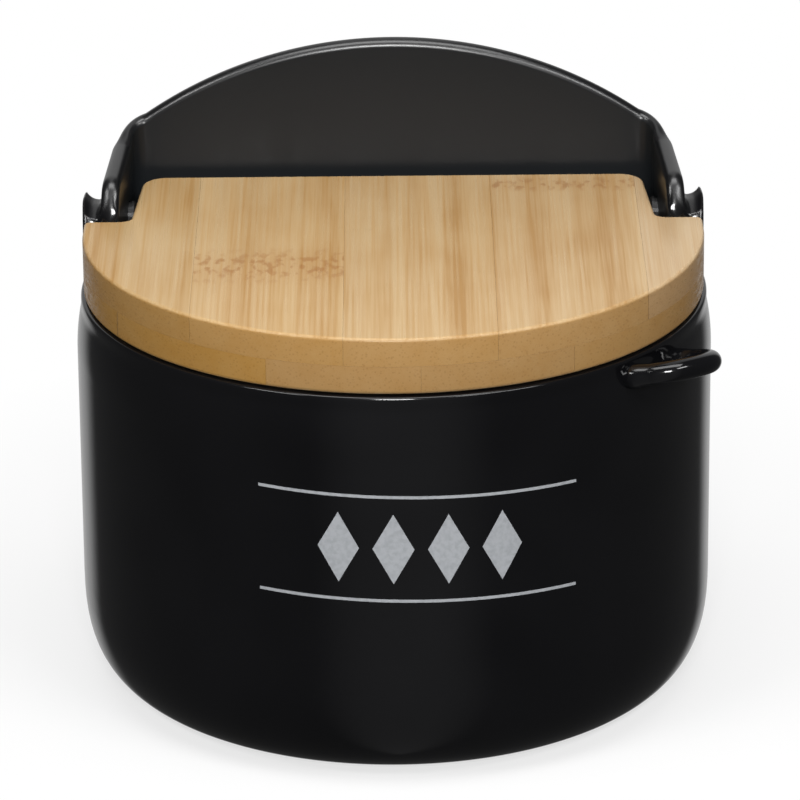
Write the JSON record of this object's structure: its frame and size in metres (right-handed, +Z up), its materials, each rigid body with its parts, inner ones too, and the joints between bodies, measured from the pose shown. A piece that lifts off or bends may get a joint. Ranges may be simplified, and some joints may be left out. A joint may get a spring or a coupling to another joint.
{
  "type": "salt box with hinged lid",
  "caption": "Countertop salt box: black glazed stoneware pot with a round front, flat back and arched hood, a bamboo lid hinged on steel pins, and a side loop for a spoon.",
  "frame": {"origin": "on the surface that the pot stands on, under the middle of its plan, half way between the round front and the flat back", "axes": "+X to the right seen from the front, +Y towards the flat back, +Z up"},
  "size_m": [0.1264, 0.1036, 0.1202],
  "materials": {
    "black_glaze": "glossy black glaze on stoneware",
    "bamboo": "fine-sanded, oiled bamboo",
    "stainless_steel": "drawn stainless wire",
    "nylon": "moulded black nylon"
  },
  "bodies": {
    "pot_body": {"pot": "black_glaze", "spoon_loop": "black_glaze", "hinge_bush_left": "nylon", "hinge_bush_right": "nylon"},
    "lid_body": {"lid_top_strip_1": "bamboo", "lid_top_strip_2": "bamboo", "lid_top_strip_3": "bamboo", "lid_top_strip_4": "bamboo", "lid_top_strip_5": "bamboo", "lid_bottom_strip_1": "bamboo", "lid_bottom_strip_2": "bamboo", "lid_bottom_strip_3": "bamboo", "lid_bottom_strip_4": "bamboo", "lid_bottom_strip_5": "bamboo", "hinge_pin_left": "stainless_steel", "hinge_pin_right": "stainless_steel"}
  },
  "joints": [
    {"name": "lid_hinge", "type": "hinge", "parent": "pot_body", "child": "lid_body", "pos_m": [0, 0.03665, 0.08705], "axis": [-1, 0, 0], "range_deg": [0, 98]}
  ]
}
